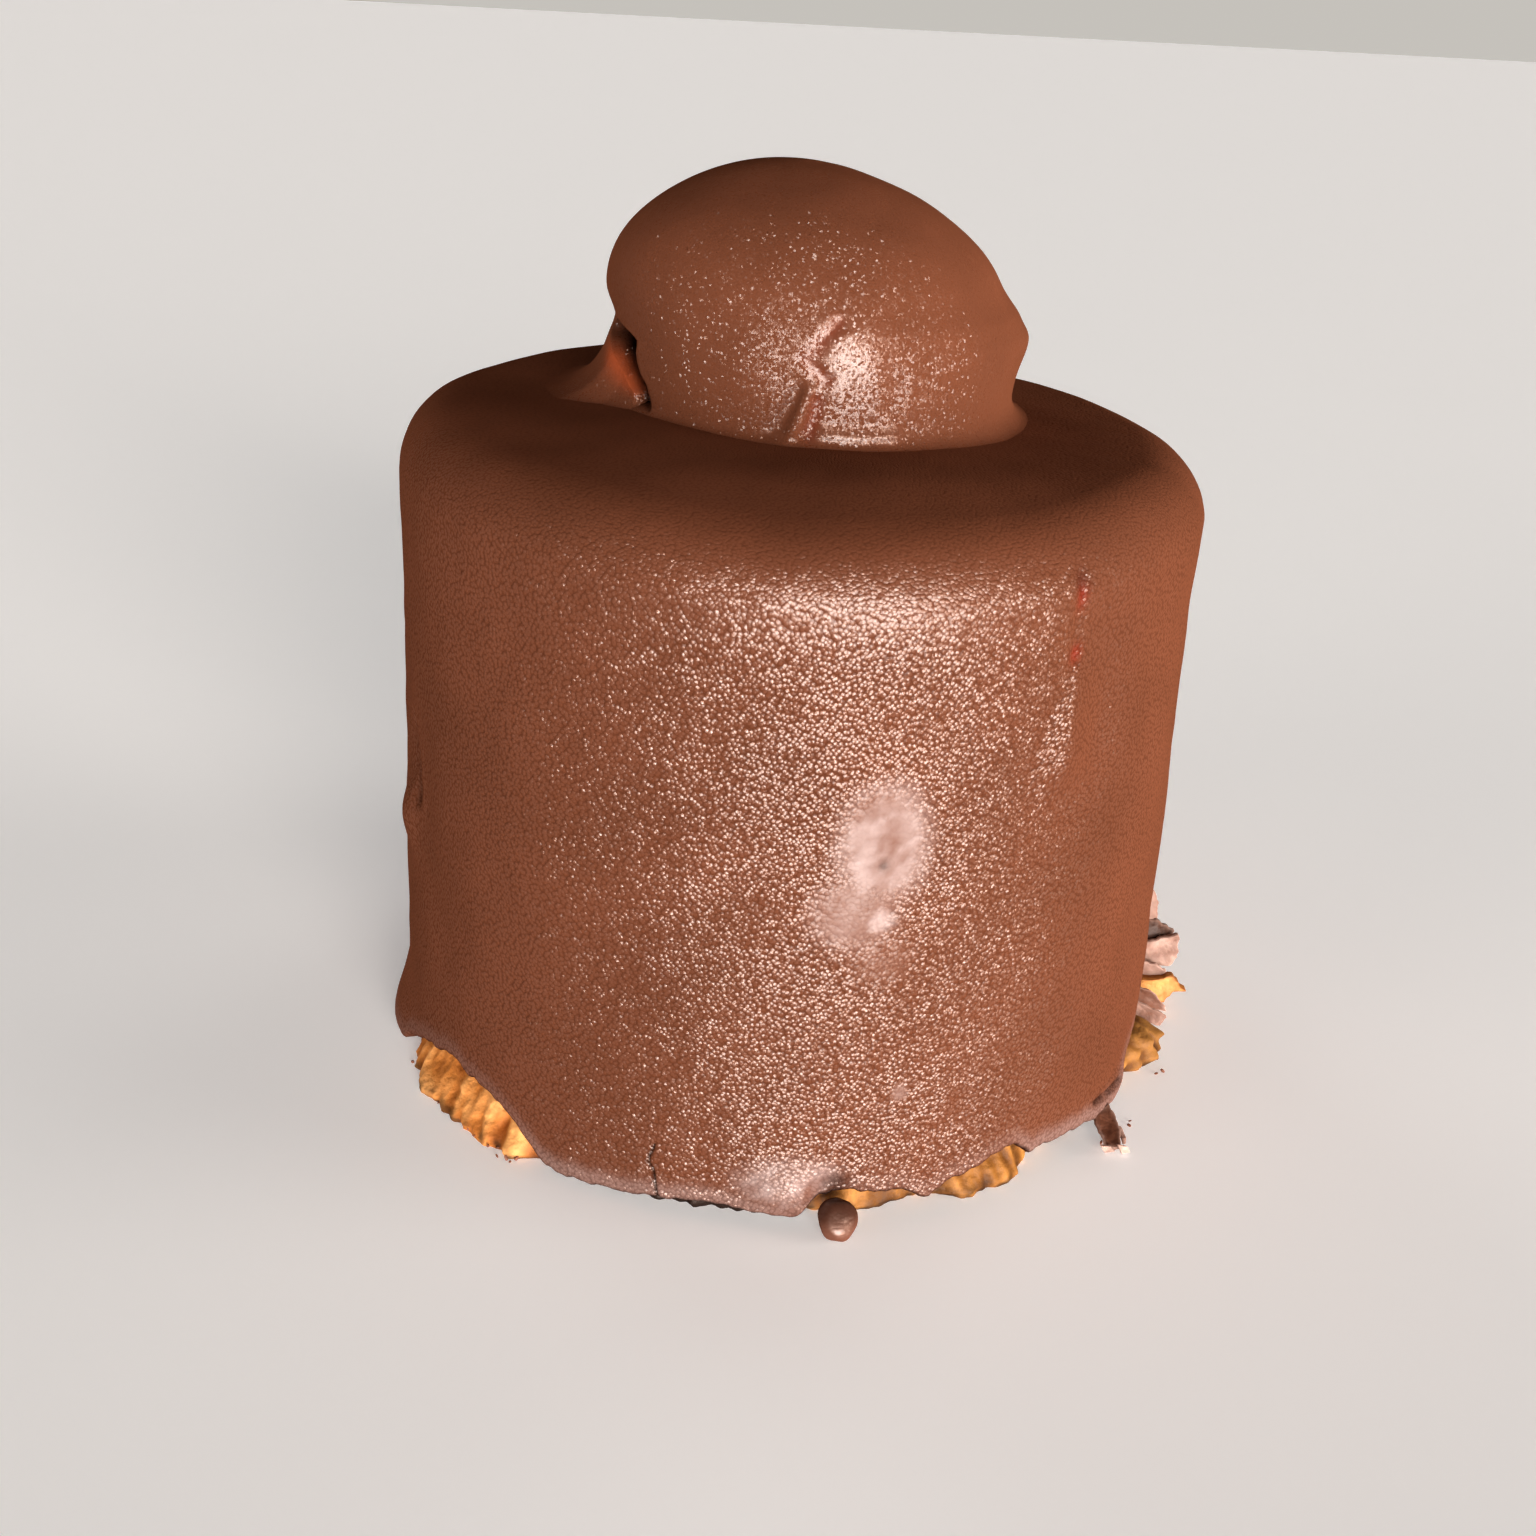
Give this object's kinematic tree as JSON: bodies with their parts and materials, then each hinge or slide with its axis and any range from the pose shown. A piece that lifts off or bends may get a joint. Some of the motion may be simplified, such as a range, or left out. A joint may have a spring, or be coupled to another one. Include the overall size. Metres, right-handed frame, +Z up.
{
  "type": "profiterole cake",
  "caption": "Tall round single-portion cake under a chocolate coat, with a coated profiterole on top and a golden pastry base showing below the coat's uneven hem.",
  "frame": {"origin": "centre of the pastry base's underside, where the cake rests", "axes": "+Z up, the side seen in the picture faces -Y, +X to its right"},
  "size_m": [0.0805, 0.0749, 0.081],
  "materials": {
    "pastry": "dry, golden baked pastry",
    "chocolate_coat": "satin chocolate with a fine grain",
    "profiterole_coat": "satin chocolate with a fine grain"
  },
  "bodies": {
    "root": {"pastry_base": "pastry", "coated_cake": "chocolate_coat", "coated_profiterole": "profiterole_coat"}
  },
  "joints": []
}
